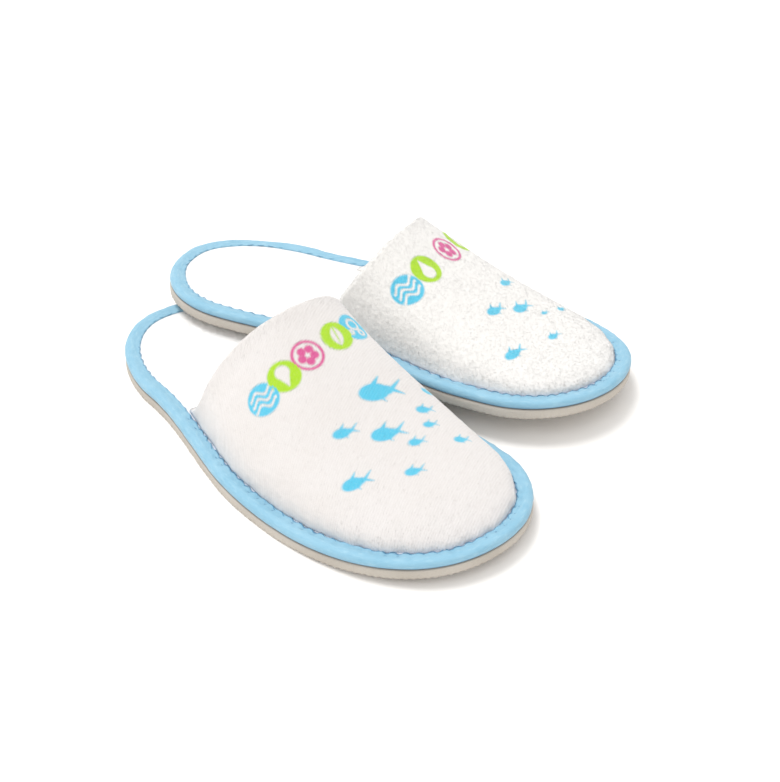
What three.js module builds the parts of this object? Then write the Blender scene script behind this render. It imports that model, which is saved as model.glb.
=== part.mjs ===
// A pair of closed-toe terry spa slippers, lying as a pair: the right one flat on the floor,
// the left one with its inner heel edge resting on the rim of the right one.
// Units are millimetres, +Z is up. The right slipper's toe points along -Y.
//
// Each slipper is drawn in its own frame: x runs from the heel end to the toe end,
// y points to the big-toe side, z is up from the underside. The left slipper is the
// mirror image of the right one, so one set of functions draws both.
import * as THREE from 'three';

// ---- sole outline ----
const LENGTH = 235;            // heel end to toe end
const HEEL_MID = -3.5;         // y of the outline's heel-most point
const TOE_MID = 5.4;           // y of the outline's toe-most point
const OUTER_EDGE = {           // little-toe side: widths at heel and ball, and how square the ends are
  heelAt: 56, heelHalf: 42.8, ballAt: 140, ballHalf: 54.1, heelPower: 2.04, toePower: 2.25,
};
const INNER_EDGE = {           // big-toe side
  heelAt: 46, heelHalf: 44.3, ballAt: 188, ballHalf: 51.8, heelPower: 2.0, toePower: 2.02,
};
const WAIST = { from: 46, to: 170, depth: 7 };       // hollow of the arch on the big-toe side
const TOE_SPRING = { from: 0.68, rise: 5.3 };        // start as a share of the length, lift at the tip

// ---- thicknesses, from the floor up ----
const GAP = 0.3;               // left between neighbouring pieces
const SOLE_THICK = 4.6;
const TAPE_THICK = 0.45;
const FOAM_THICK = 0.8;
const FOOTBED_THICK = 0.8;
const TAPE_WIDTH = 7.2;        // how far the edge tape reaches in from the edge
const TAPE_SET_IN = 0.2;       // tape edge inside the sole edge
const FOLD_ROOM = 1.1;         // cushion layers stop this far inside the edge, within the tape's fold
const FOLD_ROUND = 0.55;       // rounding of the tape's fold
const THREAD = 0.4;            // sewing thread width and height
const THREAD_AT = 5.6;         // stitch line's distance in from the edge

const TAPE_LOW = SOLE_THICK + GAP;
const FOAM_LOW = TAPE_LOW + TAPE_THICK + GAP;
const FOOTBED_LOW = FOAM_LOW + FOAM_THICK + GAP;
const FOOTBED_TOP = FOOTBED_LOW + FOOTBED_THICK;
const TAPE_TOP = FOOTBED_TOP + GAP + TAPE_THICK;
const THREAD_LOW = TAPE_TOP + GAP;
const STACK_TOP = THREAD_LOW + THREAD;
const UPPER_BASE = FOOTBED_TOP + GAP;

// ---- uppers ----
const SEAM_ROOM = 0.8;         // between the tape and the foot of the upper
const UPPER_SET_IN = TAPE_WIDTH + SEAM_ROOM;
const TERRY_THICK = 1.4;
const PADDING_THICK = 1.3;
const PLY_GAP = 0.6;           // between the layers of an upper, wider because they slope
const LINING_THICK = 0.6;
const HEM_THICK = 1.1;         // terry turned back inside the mouth
const HEM_LENGTH = 9;
const HEM_ROUND = 0.5;
// outerEnd, innerEnd: where the mouth's ends meet the sole; bend: how fast it swings forward;
// crown: station and height of its highest point; toeHigh: height kept near the toe;
// fall: how the ridge drops to the toe; full: how square the arch is; lean: sideways sag
const RIGHT_UPPER = {
  outerEnd: 78, innerEnd: 93, bend: 0.5,
  crownAt: 110, crownHigh: 58, toeHigh: 9, fall: 1.3, full: 2.4, lean: 9,
};
const LEFT_UPPER = {
  outerEnd: 81, innerEnd: 91, bend: 0.55,
  crownAt: 118, crownHigh: 45, toeHigh: 9, fall: 1.6, full: 2.35, lean: -1,
};

// ---- how the left slipper lies, seen in the right slipper's frame ----
const LEFT_BACK = 24.8;                              // its heel end lies this far behind the right one's
const LEFT_ROOM = 4;                                 // between its sole edge and the foot of the right upper
const PLACE_STEP = 0.1;                              // it is moved out in steps of this size
const LEFT_TURN = 24.9;                              // degrees, toe turned away from the right one
const LEFT_UPHILL = 97;                              // degrees from its toe direction to its big-toe side
const REST_GAP = 0.3;

// ---- mesh density ----
const EDGE_STATIONS = 22;      // along the sole, heel end to toe end
const ARCH_STEPS = 16;         // across an upper
const RIDGE_STEPS = 13;        // along an upper

const COLOURS = {
  sole: { color: '#e9e2cf', roughness: 0.75 },
  board: { color: '#c9b48c', roughness: 0.9 },
  foam: { color: '#f3efdf', roughness: 0.85 },
  footbed: { color: '#fafaf8', roughness: 0.95 },
  tape: { color: '#a9dcf2', roughness: 0.7 },
  thread: { color: '#2d5f9e', roughness: 0.6 },
  terry: { color: '#ece8e1', roughness: 0.95 },
  padding: { color: '#f1eee2', roughness: 0.9 },
  lining: { color: '#f4f3ef', roughness: 0.85 },
};

const group = new THREE.Group();
group.name = 'spa_slippers';

function clamp01(t) {
  return Math.min(1, Math.max(0, t));
}

function ease(t) {
  const k = clamp01(t);
  return k * k * (3 - 2 * k);
}

// Half width of one side of the sole at station x, measured outwards from y = 0.
function sideHalf(x, edge, heelEnd, toeEnd) {
  if (x < edge.heelAt) {
    const back = clamp01((edge.heelAt - x) / edge.heelAt);
    const round = (1 - back ** edge.heelPower) ** (1 / edge.heelPower);
    return heelEnd + (edge.heelHalf - heelEnd) * round;
  }
  if (x > edge.ballAt) {
    const ahead = clamp01((x - edge.ballAt) / (LENGTH - edge.ballAt));
    const round = (1 - ahead ** edge.toePower) ** (1 / edge.toePower);
    return toeEnd + (edge.ballHalf - toeEnd) * round;
  }
  const share = ease((x - edge.heelAt) / (edge.ballAt - edge.heelAt));
  return edge.heelHalf + (edge.ballHalf - edge.heelHalf) * share;
}

function outerY(x) {
  return -sideHalf(x, OUTER_EDGE, -HEEL_MID, -TOE_MID);
}

function innerY(x) {
  const inWaist = clamp01((x - WAIST.from) / (WAIST.to - WAIST.from));
  return sideHalf(x, INNER_EDGE, HEEL_MID, TOE_MID) - WAIST.depth * Math.sin(Math.PI * inWaist) ** 2;
}

function springAt(x) {
  const run = LENGTH * (1 - TOE_SPRING.from);
  return TOE_SPRING.rise * Math.max(0, (x - LENGTH * TOE_SPRING.from) / run) ** 2;
}

// The sole outline as a loop: heel end, along the little-toe side, toe end, back along the other.
function soleLoop() {
  const last = EDGE_STATIONS - 1;
  const loop = [];
  for (let i = 0; i <= last; i++) {
    const x = LENGTH * (1 - Math.cos(Math.PI * i / last)) / 2;
    loop.push(new THREE.Vector2(x, outerY(x)));
  }
  for (let i = last - 1; i > 0; i--) {
    const x = LENGTH * (1 - Math.cos(Math.PI * i / last)) / 2;
    loop.push(new THREE.Vector2(x, innerY(x)));
  }
  return loop;
}

const OUTLINE = soleLoop();

// The outline moved inwards by a distance.
function insetLoop(inset) {
  return OUTLINE.map((p, i) => {
    const before = OUTLINE[(i + OUTLINE.length - 1) % OUTLINE.length];
    const after = OUTLINE[(i + 1) % OUTLINE.length];
    const way = after.clone().sub(before).normalize();
    return new THREE.Vector2(p.x - way.y * inset, p.y + way.x * inset);
  });
}

function loopAtHeight(inset, z) {
  return insetLoop(inset).map((p) => new THREE.Vector3(p.x, p.y, z + springAt(p.x)));
}

function meshGeometry(points, faces) {
  const geometry = new THREE.BufferGeometry().setFromPoints(points);
  geometry.setIndex(faces.flat());
  return geometry;
}

// A slab: loops stacked from the underside up, with flat strips closing bottom and top.
function slab(loops) {
  const count = loops[0].length;
  const faces = [];
  for (let k = 0; k + 1 < loops.length; k++) {
    for (let i = 0; i < count; i++) {
      const j = (i + 1) % count;
      const low = k * count;
      const high = low + count;
      faces.push([low + i, low + j, high + j], [low + i, high + j, high + i]);
    }
  }
  const topStart = (loops.length - 1) * count;
  const last = EDGE_STATIONS - 1;
  for (let i = 0; i < last; i++) {
    const j = i + 1;
    const iBack = (count - i) % count;
    const jBack = count - j;
    if (j < last) {
      faces.push([topStart + i, topStart + j, topStart + jBack], [i, jBack, j]);
    }
    if (i > 0) {
      const far = j < last ? jBack : j;
      faces.push([topStart + i, topStart + far, topStart + iBack], [i, iBack, far]);
    }
  }
  return meshGeometry(loops.flat(), faces);
}

// A closed band round the sole edge; the section is a list of [inset, height] turning
// clockwise when seen with the inset growing to the right.
function edgeBand(section) {
  const loops = section.map(([inset, z]) => loopAtHeight(inset, z));
  const count = loops[0].length;
  const faces = [];
  for (let k = 0; k < loops.length; k++) {
    const low = k * count;
    const high = ((k + 1) % loops.length) * count;
    for (let i = 0; i < count; i++) {
      const j = (i + 1) % count;
      faces.push([low + i, low + j, high + j], [low + i, high + j, high + i]);
    }
  }
  return meshGeometry(loops.flat(), faces);
}

function outsole() {
  const chamfer = 0.5;
  return slab([
    loopAtHeight(chamfer, 0),
    loopAtHeight(0, chamfer),
    loopAtHeight(0, SOLE_THICK - chamfer),
    loopAtHeight(chamfer, SOLE_THICK),
  ]);
}

function flatLayer(inset, low, thick) {
  return slab([loopAtHeight(inset, low), loopAtHeight(inset, low + thick)]);
}

// The tape is folded round the edge of the cushion layers: one leg under them, one on top.
function edgeTape() {
  const out = TAPE_SET_IN;
  const back = out + TAPE_THICK;
  const r = FOLD_ROUND;
  const lowInside = TAPE_LOW + TAPE_THICK;
  const topInside = TAPE_TOP - TAPE_THICK;
  return edgeBand([
    [TAPE_WIDTH, TAPE_LOW], [out + r, TAPE_LOW], [out, TAPE_LOW + r],
    [out, TAPE_TOP - r], [out + r, TAPE_TOP], [TAPE_WIDTH, TAPE_TOP],
    [TAPE_WIDTH, topInside], [back + GAP / 2, topInside], [back, topInside - GAP / 2],
    [back, lowInside + GAP / 2], [back + GAP / 2, lowInside], [TAPE_WIDTH, lowInside],
  ]);
}

function stitchThread() {
  const half = THREAD / 2;
  return edgeBand([
    [THREAD_AT + half, THREAD_LOW], [THREAD_AT - half, THREAD_LOW],
    [THREAD_AT - half, THREAD_LOW + THREAD], [THREAD_AT + half, THREAD_LOW + THREAD],
  ]);
}

// y of both sides of an inset loop at station x.
function sidesAt(loop, x) {
  const last = EDGE_STATIONS - 1;
  const cross = (from, to) => {
    for (let i = from; i < to; i++) {
      const a = loop[i % loop.length];
      const b = loop[(i + 1) % loop.length];
      if ((a.x - x) * (b.x - x) <= 0 && a.x !== b.x) {
        return a.y + (b.y - a.y) * (x - a.x) / (b.x - a.x);
      }
    }
    return loop[last].y;
  };
  return [cross(0, last), cross(last, loop.length)];
}

// A point on an upper: depth below its outer face, set back from the mouth edge by `back`,
// `along` from mouth (0) to toe (1), `across` from the little-toe side (0) over to the other (1).
function upperPoint(shape, loop, depth, back, along, across) {
  const angle = Math.PI * across;
  const rise = Math.sin(angle);
  const side = Math.cos(angle);
  const toeX = loop[EDGE_STATIONS - 1].x;
  const mouthEnd = shape.outerEnd + (shape.innerEnd - shape.outerEnd) * (1 - side) / 2;
  const mouthX = mouthEnd + (shape.crownAt - mouthEnd) * Math.max(0, rise) ** shape.bend + back;
  const x = mouthX + along * (toeX - mouthX);
  const [outer, inner] = sidesAt(loop, x);
  const forward = (x - shape.crownAt) / (toeX - shape.crownAt);
  const left = Math.max(0, 1 - forward);
  const dome = Math.sqrt(1 - clamp01(forward) ** 8);
  const ridge = (shape.toeHigh + (shape.crownHigh - shape.toeHigh) * left ** shape.fall - depth) * dome;
  const arch = 2 / shape.full;
  const y = (outer + inner) / 2 - (inner - outer) / 2 * Math.sign(side) * Math.abs(side) ** arch
    + shape.lean * rise ** 2 * clamp01(left);
  return new THREE.Vector3(x, y, UPPER_BASE + springAt(x) + ridge * Math.max(0, rise) ** arch);
}

// A shell with a hollow under it. Its section is a closed list of rows {depth, back, along},
// swept across the foot; rows with along = 1 end in one point at the toe.
function upperShell(shape, rows) {
  const points = [];
  const index = rows.map((row) => {
    const loop = insetLoop(UPPER_SET_IN + row.depth);
    const line = [];
    for (let k = 0; k <= ARCH_STEPS; k++) {
      if (row.along < 1 || k === 0) {
        points.push(upperPoint(shape, loop, row.depth, row.back, row.along, k / ARCH_STEPS));
      }
      line.push(points.length - 1);
    }
    return line;
  });
  const faces = [];
  const add = (a, b, c) => {
    if (a !== b && b !== c && c !== a) faces.push([a, b, c]);
  };
  rows.forEach((row, r) => {
    const next = index[(r + 1) % rows.length];
    for (let k = 0; k < ARCH_STEPS; k++) {
      add(index[r][k], next[k], next[k + 1]);
      add(index[r][k], next[k + 1], index[r][k + 1]);
    }
  });
  for (const end of [0, ARCH_STEPS]) {
    const rim = index.map((line) => line[end]);
    const section = rim.map((p) => new THREE.Vector2(points[p].x, points[p].y));
    for (const [a, b, c] of THREE.ShapeUtils.triangulateShape(section, [])) {
      const turn = Math.sign(section[b].clone().sub(section[a]).cross(section[c].clone().sub(section[a])));
      add(...(turn > 0 ? [rim[a], rim[c], rim[b]] : [rim[a], rim[b], rim[c]]));
    }
  }
  return meshGeometry(points, faces);
}

// Rows from the mouth to the toe on one face, closer together at the toe.
function faceRows(depth, back) {
  const rows = [];
  for (let i = 0; i <= RIDGE_STEPS; i++) {
    rows.push({ depth, back, along: Math.sin(Math.PI / 2 * i / RIDGE_STEPS) });
  }
  return rows;
}

const PADDING_DEPTH = TERRY_THICK + PLY_GAP;
const LINING_DEPTH = PADDING_DEPTH + PADDING_THICK + PLY_GAP;
const HEM_DEPTH = LINING_DEPTH + LINING_THICK + PLY_GAP;

// The outer terry turns round the mouth edge and ends in a hem inside.
function upperTerry(shape) {
  const inside = HEM_DEPTH + HEM_THICK;
  return upperShell(shape, [
    ...faceRows(0, HEM_ROUND),
    ...faceRows(TERRY_THICK, TERRY_THICK).reverse(),
    { depth: HEM_DEPTH, back: TERRY_THICK, along: 0 },
    { depth: HEM_DEPTH, back: HEM_LENGTH, along: 0 },
    { depth: inside, back: HEM_LENGTH, along: 0 },
    { depth: inside, back: HEM_ROUND, along: 0 },
    { depth: inside - HEM_ROUND, back: 0, along: 0 },
    { depth: HEM_ROUND, back: 0, along: 0 },
  ]);
}

function upperLayer(shape, depth, thick) {
  const back = TERRY_THICK + PLY_GAP;
  return upperShell(shape, [...faceRows(depth, back), ...faceRows(depth + thick, back).reverse()]);
}

// Mirror image for the left foot, turned right side out again.
function mirrored(geometry) {
  geometry.scale(1, -1, 1);
  const faces = geometry.getIndex();
  for (let i = 0; i < faces.count; i += 3) {
    const b = faces.getX(i + 1);
    faces.setX(i + 1, faces.getX(i + 2));
    faces.setX(i + 2, b);
  }
  return geometry;
}

function slipperPieces(shape) {
  return {
    outsole: [outsole(), COLOURS.sole],
    insole_board: [flatLayer(UPPER_SET_IN, TAPE_LOW, TAPE_THICK), COLOURS.board],
    footbed_foam: [flatLayer(FOLD_ROOM, FOAM_LOW, FOAM_THICK), COLOURS.foam],
    footbed_terry: [flatLayer(FOLD_ROOM, FOOTBED_LOW, FOOTBED_THICK), COLOURS.footbed],
    edge_binding: [edgeTape(), COLOURS.tape],
    binding_stitch: [stitchThread(), COLOURS.thread],
    upper_terry: [upperTerry(shape), COLOURS.terry],
    upper_padding: [upperLayer(shape, PADDING_DEPTH, PADDING_THICK), COLOURS.padding],
    upper_lining: [upperLayer(shape, LINING_DEPTH, LINING_THICK), COLOURS.lining],
  };
}

function pointInLoop(p, loop) {
  let inside = false;
  for (let i = 0, j = loop.length - 1; i < loop.length; j = i++) {
    const a = loop[i];
    const b = loop[j];
    if ((a.y > p.y) !== (b.y > p.y) && p.x < (b.x - a.x) * (p.y - a.y) / (b.y - a.y) + a.x) {
      inside = !inside;
    }
  }
  return inside;
}

// How far to the side the left slipper's heel end lies: the least that leaves room beside
// the foot of the right slipper's upper.
function leftAcross(turn) {
  const start = RIGHT_UPPER.innerEnd;
  const foot = denser(insetLoop(UPPER_SET_IN)).filter((p) => p.x > start && p.y > 0);
  const edge = denser(OUTLINE).map((p) => new THREE.Vector2(p.x, -p.y));
  const heelEnd = new THREE.Vector2();
  for (let across = 0; across < LENGTH; across += PLACE_STEP) {
    const moved = (p) => new THREE.Vector2(p.x + LEFT_BACK, p.y - across).rotateAround(heelEnd, -turn);
    const seen = foot.map(moved);
    const clear = seen.every((p) => !pointInLoop(p, edge) && edge.every((q) => q.distanceTo(p) > LEFT_ROOM));
    if (clear) return across;
  }
  return LENGTH;
}

// The left slipper's place in the right one's frame: turned, then tipped just far enough for
// its underside to clear the right slipper's rim while its outer edge stays on the floor.
function leftPlace() {
  const turn = THREE.MathUtils.degToRad(LEFT_TURN);
  const level = new THREE.Matrix4().makeRotationZ(turn);
  level.setPosition(-LEFT_BACK, leftAcross(turn), 0);
  const back = level.clone().invert();
  const under = OUTLINE.map((p) => new THREE.Vector2(p.x, -p.y));
  const uphillAngle = -THREE.MathUtils.degToRad(LEFT_UPHILL);
  const uphill = new THREE.Vector2(Math.cos(uphillAngle), Math.sin(uphillAngle));
  const lowest = Math.min(...under.map((p) => p.dot(uphill)));
  let slope = 0;
  for (const [inset, top] of [[TAPE_SET_IN + FOLD_ROUND, TAPE_TOP], [THREAD_AT, STACK_TOP]]) {
    for (const rim of denser(insetLoop(inset))) {
      const p3 = new THREE.Vector3(rim.x, rim.y, 0).applyMatrix4(back);
      const p = new THREE.Vector2(p3.x, p3.y);
      if (pointInLoop(p, under)) {
        slope = Math.max(slope, (top + springAt(rim.x) + REST_GAP) / (p.dot(uphill) - lowest));
      }
    }
  }
  const tip = Math.atan(slope);
  const axis = new THREE.Vector3(uphill.y, -uphill.x, 0);
  const pivot = new THREE.Vector3(uphill.x, uphill.y, 0).multiplyScalar(lowest);
  const tilt = new THREE.Matrix4().makeTranslation(pivot.x, pivot.y, 0)
    .multiply(new THREE.Matrix4().makeRotationAxis(axis, tip))
    .multiply(new THREE.Matrix4().makeTranslation(-pivot.x, -pivot.y, 0));
  return level.multiply(tilt);
}

function denser(loop) {
  const steps = 6;
  return loop.flatMap((p, i) => {
    const next = loop[(i + 1) % loop.length];
    return Array.from({ length: steps }, (_, k) => p.clone().lerp(next, k / steps));
  });
}

function addSlipper(side, shape, place, mirror) {
  for (const [name, [geometry, look]] of Object.entries(slipperPieces(shape))) {
    if (mirror) mirrored(geometry);
    geometry.applyMatrix4(place);
    geometry.computeVertexNormals();
    const material = new THREE.MeshStandardMaterial({ ...look, metalness: 0 });
    const mesh = new THREE.Mesh(geometry, material);
    mesh.name = `${side}_${name}`;
    group.add(mesh);
  }
}

// Toe towards -Y, big-toe side towards +X.
const rightPlace = new THREE.Matrix4().makeRotationZ(-Math.PI / 2);
addSlipper('right', RIGHT_UPPER, rightPlace, false);
addSlipper('left', LEFT_UPPER, rightPlace.clone().multiply(leftPlace()), true);

// Origin at the middle of the pair's outer box, on the floor.
const box = new THREE.Box3().setFromObject(group);
const middle = box.getCenter(new THREE.Vector3());
for (const mesh of group.children) mesh.geometry.translate(-middle.x, -middle.y, -box.min.z);

export default group;
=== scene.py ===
"""Looks of a pair of closed-toe spa slippers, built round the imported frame.

Each slipper is shaped in its own frame, in millimetres: x from heel end to toe, y towards
the big toe, z up from the floor. The left one is the mirror image, turned and tipped onto
the right one's rim. place() brings either of them into the row's frame, in metres.
"""
import math
from itertools import product

import bmesh
import bpy
import numpy as np
from mathutils import Matrix, Vector
from mathutils.kdtree import KDTree


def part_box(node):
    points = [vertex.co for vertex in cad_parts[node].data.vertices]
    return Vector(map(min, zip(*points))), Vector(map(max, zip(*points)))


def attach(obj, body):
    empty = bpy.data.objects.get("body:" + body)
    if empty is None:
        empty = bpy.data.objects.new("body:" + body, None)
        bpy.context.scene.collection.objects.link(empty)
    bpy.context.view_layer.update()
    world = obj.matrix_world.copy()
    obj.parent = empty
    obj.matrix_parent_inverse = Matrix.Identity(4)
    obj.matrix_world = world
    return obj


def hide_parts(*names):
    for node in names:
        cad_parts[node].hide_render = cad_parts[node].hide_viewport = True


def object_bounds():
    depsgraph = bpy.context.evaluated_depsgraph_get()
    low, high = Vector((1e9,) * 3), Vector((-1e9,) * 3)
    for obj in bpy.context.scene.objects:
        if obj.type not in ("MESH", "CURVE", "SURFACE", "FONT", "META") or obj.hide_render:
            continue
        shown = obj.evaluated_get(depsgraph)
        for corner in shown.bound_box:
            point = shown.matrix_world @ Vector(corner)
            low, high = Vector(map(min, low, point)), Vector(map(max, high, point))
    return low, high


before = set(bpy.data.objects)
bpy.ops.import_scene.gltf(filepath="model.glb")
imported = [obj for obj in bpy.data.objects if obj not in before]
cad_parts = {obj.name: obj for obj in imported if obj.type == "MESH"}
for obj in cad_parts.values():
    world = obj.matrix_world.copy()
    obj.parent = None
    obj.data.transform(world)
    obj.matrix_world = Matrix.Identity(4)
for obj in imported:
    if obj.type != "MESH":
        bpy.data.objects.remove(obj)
cad_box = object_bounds()

MM = 0.001

# ---- the sole outline, as in the CAD model ----
LENGTH = 235.0
HEEL_MID, TOE_MID = -3.5, 5.4
OUTER_EDGE = dict(
    heel_at=56, heel_half=42.8, heel_power=2.04, ball_at=140, ball_half=54.1, toe_power=2.25
)
INNER_EDGE = dict(
    heel_at=46, heel_half=44.3, heel_power=2.0, ball_at=188, ball_half=51.8, toe_power=2.02
)
WAIST_FROM, WAIST_TO, WAIST_DEPTH = 46, 170, 7
SPRING_FROM, SPRING_RISE = 0.68, 5.3

# ---- the uppers, as in the CAD model ----
UPPER_BASE, UPPER_SET_IN = 7.85, 8.0
RIGHT_UPPER = dict(
    outer_end=78, inner_end=93, bend=0.5, crown_at=110, crown_high=58,
    toe_high=9, fall=1.3, full=2.4, lean=9,
)
LEFT_UPPER = dict(
    outer_end=81, inner_end=91, bend=0.55, crown_at=118, crown_high=45,
    toe_high=9, fall=1.6, full=2.35, lean=-1,
)
TERRY, PLY_GAP, PADDING, LINING = 1.4, 0.6, 1.3, 0.6
PADDING_DEPTH = TERRY + PLY_GAP
LINING_DEPTH = PADDING_DEPTH + PADDING + PLY_GAP
HEM_DEPTH = LINING_DEPTH + LINING + PLY_GAP
HEM_INSIDE = HEM_DEPTH + 1.1
HEM_LENGTH = 9.0
MOUTH_ROLL, PLY_BACK = 1.9, 2.0

# ---- how the left slipper lies ----
LEFT_TURN = math.radians(24.9)
LEFT_UPHILL = math.radians(97)
LEFT_TIP = math.atan(0.115376)

# ---- mesh density ----
STATIONS = 480
CAD_STATIONS = 21
ARCH_STEPS = 256
RIDGE_STEPS = 300
CORNER_ROWS, ROLL_ROWS = 8, 5
OUTSIDE_ROWS = RIDGE_STEPS + (CORNER_ROWS - 1) + (ROLL_ROWS - 2) + CORNER_ROWS

# ---- the sole, the footbed, the tape and its thread ----
SOLE_THICK, SOLE_CHAMFER = 4.6, 0.5
SCALLOP_PITCH = 3.0
STITCH_INSET, STITCH_HIGH = 7.0, 7.85
STITCH_PITCH = 5.8
BED_ACROSS, BED_SKIPPED = 104, 8
BED_INSET, BED_EDGE_HIGH, BED_CROWN, BED_UNDERSIDE = 5.0, 7.5, 0.85, 6.85
UNDER_UPPER_FROM, UNDER_UPPER_RUN = 66, 26


# -------- shape of one slipper --------


def ease(t):
    k = np.clip(t, 0, 1)
    return k * k * (3 - 2 * k)


def side_half(x, edge, heel_end, toe_end):
    """Half width of one side of the sole at station x, measured outwards from y = 0."""
    back = np.clip((edge["heel_at"] - x) / edge["heel_at"], 0, 1)
    ahead = np.clip((x - edge["ball_at"]) / (LENGTH - edge["ball_at"]), 0, 1)
    heel_power, toe_power = edge["heel_power"], edge["toe_power"]
    heel = heel_end + (edge["heel_half"] - heel_end) * (1 - back**heel_power) ** (1 / heel_power)
    toe = toe_end + (edge["ball_half"] - toe_end) * (1 - ahead**toe_power) ** (1 / toe_power)
    share = ease((x - edge["heel_at"]) / (edge["ball_at"] - edge["heel_at"]))
    middle = edge["heel_half"] + (edge["ball_half"] - edge["heel_half"]) * share
    return np.where(x < edge["heel_at"], heel, np.where(x > edge["ball_at"], toe, middle))


def outer_y(x):
    return -side_half(x, OUTER_EDGE, -HEEL_MID, -TOE_MID)


def inner_y(x):
    in_waist = np.clip((x - WAIST_FROM) / (WAIST_TO - WAIST_FROM), 0, 1)
    return side_half(x, INNER_EDGE, HEEL_MID, TOE_MID) - WAIST_DEPTH * np.sin(np.pi * in_waist) ** 2


def spring_at(x):
    run = LENGTH * (1 - SPRING_FROM)
    return SPRING_RISE * np.maximum(0, (x - LENGTH * SPRING_FROM) / run) ** 2


def by_upper(x):
    """0 at the bare heel to 1 where the upper meets the tape."""
    return ease((x - UNDER_UPPER_FROM) / UNDER_UPPER_RUN)


def sole_loop(stations):
    """The outline from the heel end along the little-toe side to the toe and back."""
    x = LENGTH * (1 - np.cos(np.pi * np.arange(stations + 1) / stations)) / 2
    there = np.stack([x, outer_y(x)], 1)
    back = np.stack([x, inner_y(x)], 1)[-2:0:-1]
    return np.concatenate([there, back])


def inset_loop(inset, outline):
    """The outline moved inwards by a distance, or by one distance for each point."""
    way = np.roll(outline, -1, 0) - np.roll(outline, 1, 0)
    way /= np.linalg.norm(way, axis=1)[:, None]
    inwards = np.stack([-way[:, 1], way[:, 0]], 1)
    return outline + inwards * np.broadcast_to(inset, len(outline))[:, None]


def ring(inset, z, outline):
    """One loop of points at a height above the floor, following the toe spring."""
    flat = inset_loop(inset, outline)
    return np.column_stack([flat, z + spring_at(flat[:, 0])])


OUTLINE = sole_loop(STATIONS)
STEPS = np.linalg.norm(np.roll(OUTLINE, -1, 0) - OUTLINE, axis=1)
ALONG_EDGE = np.concatenate([[0], np.cumsum(STEPS)[:-1]])
PERIMETER = STEPS.sum()
STITCHES = round(PERIMETER / STITCH_PITCH)


def upper_points(shape, depth, back, along, across):
    """Points on an upper; the four arguments after shape are arrays of one length."""
    angle = np.pi * across
    rise, side = np.maximum(0, np.sin(angle)), np.cos(angle)
    arch = 2 / shape["full"]
    x = np.empty_like(across)
    outer, inner = np.empty_like(across), np.empty_like(across)
    toe_x = np.empty_like(across)
    for d in np.unique(depth):
        at = depth == d
        loop = inset_loop(UPPER_SET_IN + d, OUTLINE)
        there, home = loop[: STATIONS + 1], loop[STATIONS:]
        toe_x[at] = loop[STATIONS, 0]
        to_inner = (1 - side[at]) / 2
        mouth_end = shape["outer_end"] + (shape["inner_end"] - shape["outer_end"]) * to_inner
        mouth = mouth_end + (shape["crown_at"] - mouth_end) * rise[at] ** shape["bend"] + back[at]
        x[at] = mouth + along[at] * (toe_x[at] - mouth)
        outer[at] = np.interp(x[at], there[:, 0], there[:, 1])
        inner[at] = np.interp(x[at], home[::-1, 0], home[::-1, 1])
    forward = (x - shape["crown_at"]) / (toe_x - shape["crown_at"])
    left = np.maximum(0, 1 - forward)
    dome = np.sqrt(1 - np.clip(forward, 0, 1) ** 8)
    high = shape["toe_high"] + (shape["crown_high"] - shape["toe_high"]) * left ** shape["fall"]
    ridge = (high - depth) * dome
    y = (outer + inner) / 2 - (inner - outer) / 2 * np.sign(side) * np.abs(side) ** arch
    y += shape["lean"] * rise**2 * np.clip(left, 0, 1)
    return np.stack([x, y, UPPER_BASE + spring_at(x) + ridge * rise**arch], 1)


# -------- from slipper to row frame --------


def rotation_about(axis, angle):
    return np.array(Matrix.Rotation(angle, 3, Vector(axis)))


TO_ROW = np.array([[0, 1, 0], [-1, 0, 0], [0, 0, 1]], float)


def placing(side):
    """The matrix and shift, in millimetres, that bring a slipper into the row's frame."""
    turn = TO_ROW.copy()
    if side == "left":
        uphill = (math.cos(LEFT_UPHILL), -math.sin(LEFT_UPHILL))
        tip = rotation_about((uphill[1], -uphill[0], 0), LEFT_TIP)
        turn = TO_ROW @ rotation_about((0, 0, 1), LEFT_TURN) @ tip @ np.diag([1, -1, 1])
    coarse = sole_loop(CAD_STATIONS)
    rim = [
        (SOLE_CHAMFER, 0), (0, SOLE_CHAMFER),
        (0, SOLE_THICK - SOLE_CHAMFER), (SOLE_CHAMFER, SOLE_THICK),
    ]
    corners = np.concatenate([ring(inset, z, coarse) for inset, z in rim]) @ turn.T
    low, high = (np.array(v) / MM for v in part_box(side + "_outsole"))
    return turn, (low + high) / 2 - (corners.min(0) + corners.max(0)) / 2


PLACES = {side: placing(side) for side in ("right", "left")}


def place(points, side):
    turn, shift = PLACES[side]
    return (points @ turn.T + shift) * MM


# -------- noise and mesh helpers --------


def new_object(name, data):
    made = bpy.data.objects.new(name, data)
    bpy.context.scene.collection.objects.link(made)
    return made


HASH_PRIMES, HASH_SEED, HASH_MIX = (73856093, 19349663, 83492791), 374761393, 1274126177
SEED_SHIFT = 31.7


def lattice_noise(points, size, seed):
    """Smooth noise from -1 to 1 over points, with features about size across."""
    q = points / np.asarray(size, float) + SEED_SHIFT * (seed + 1)
    cell = np.floor(q).astype(np.int64)
    part = q - cell
    part = part * part * (3 - 2 * part)
    total = np.zeros(len(points))
    for corner in product((0, 1), repeat=points.shape[1]):
        at = cell + corner
        mix = np.full(len(points), seed * HASH_SEED, np.int64)
        for axis, prime in zip(at.T, HASH_PRIMES):
            mix = (mix ^ (axis * prime)) & 0xFFFFFFFF
        mix = (mix ^ (mix >> 13)) * HASH_MIX & 0xFFFFFFFF
        value = ((mix ^ (mix >> 16)) & 0xFFFF) / 32767.5 - 1
        total += value * np.prod(np.where(corner, part, 1 - part), axis=1)
    return total


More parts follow.
